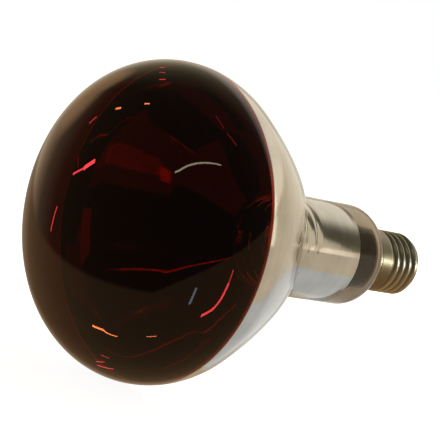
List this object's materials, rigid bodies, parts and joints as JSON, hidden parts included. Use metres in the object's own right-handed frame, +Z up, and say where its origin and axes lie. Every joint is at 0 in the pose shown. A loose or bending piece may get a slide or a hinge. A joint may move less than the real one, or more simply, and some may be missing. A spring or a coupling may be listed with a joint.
{
  "type": "infrared reflector heat lamp",
  "caption": "Sealed infrared reflector heat lamp: ruby-coated dome face, silvered parabolic reflector and neck, filament on a glass stem, rounded-thread screw cap.",
  "frame": {"origin": "centre of the centre contact's end face, on the lamp's axis", "axes": "+Y along the lamp's axis out of the screw cap, so the ruby face looks along -Y; +Z up, across the lamp; +X to the right seen from the face's side"},
  "size_m": [0.125, 0.1805, 0.125],
  "materials": {
    "ruby_coat": "dense ruby stain, polished",
    "bulb_glass": "clear polished glass",
    "mirror_film": "vacuum-deposited aluminium behind glass",
    "stem_glass": "clear glass, fire polished",
    "support_molybdenum": "dull grey drawn wire",
    "tungsten": "dark drawn wire",
    "nickel_wire": "drawn nickel wire",
    "seal_wire": "copper-clad wire sealed in glass",
    "copper_wire": "bare copper wire",
    "fuse_wire": "fine plain wire",
    "deflector_metal": "rolled sheet",
    "cement": "matte baked cement",
    "cap_metal": "nickel-plated brass, satin, slightly warm",
    "black_glass": "glossy black glass",
    "contact_brass": "plain brass",
    "solder": "soft solder, dull"
  },
  "bodies": {
    "root": {"ruby_coating": "ruby_coat", "glass_bulb": "bulb_glass", "mirror_coating": "mirror_film", "stem_flare": "stem_glass", "exhaust_tube": "stem_glass", "stem_press": "stem_glass", "arbor_rod": "stem_glass", "arbor_button": "stem_glass", "support_wire_1": "support_molybdenum", "support_wire_2": "support_molybdenum", "support_wire_3": "support_molybdenum", "support_wire_4": "support_molybdenum", "support_wire_5": "support_molybdenum", "filament": "tungsten", "filament_clamp_a": "nickel_wire", "filament_clamp_b": "nickel_wire", "inner_lead_a": "nickel_wire", "inner_lead_b": "nickel_wire", "seal_wire_a": "seal_wire", "seal_wire_b": "seal_wire", "outer_lead_a": "copper_wire", "outer_lead_b": "copper_wire", "outer_lead_c": "copper_wire", "fuse_link": "fuse_wire", "heat_deflector": "deflector_metal", "basing_cement": "cement", "cap_shell": "cap_metal", "cap_insulator": "black_glass", "centre_contact": "contact_brass", "centre_solder": "solder", "side_solder": "solder"}
  },
  "joints": []
}
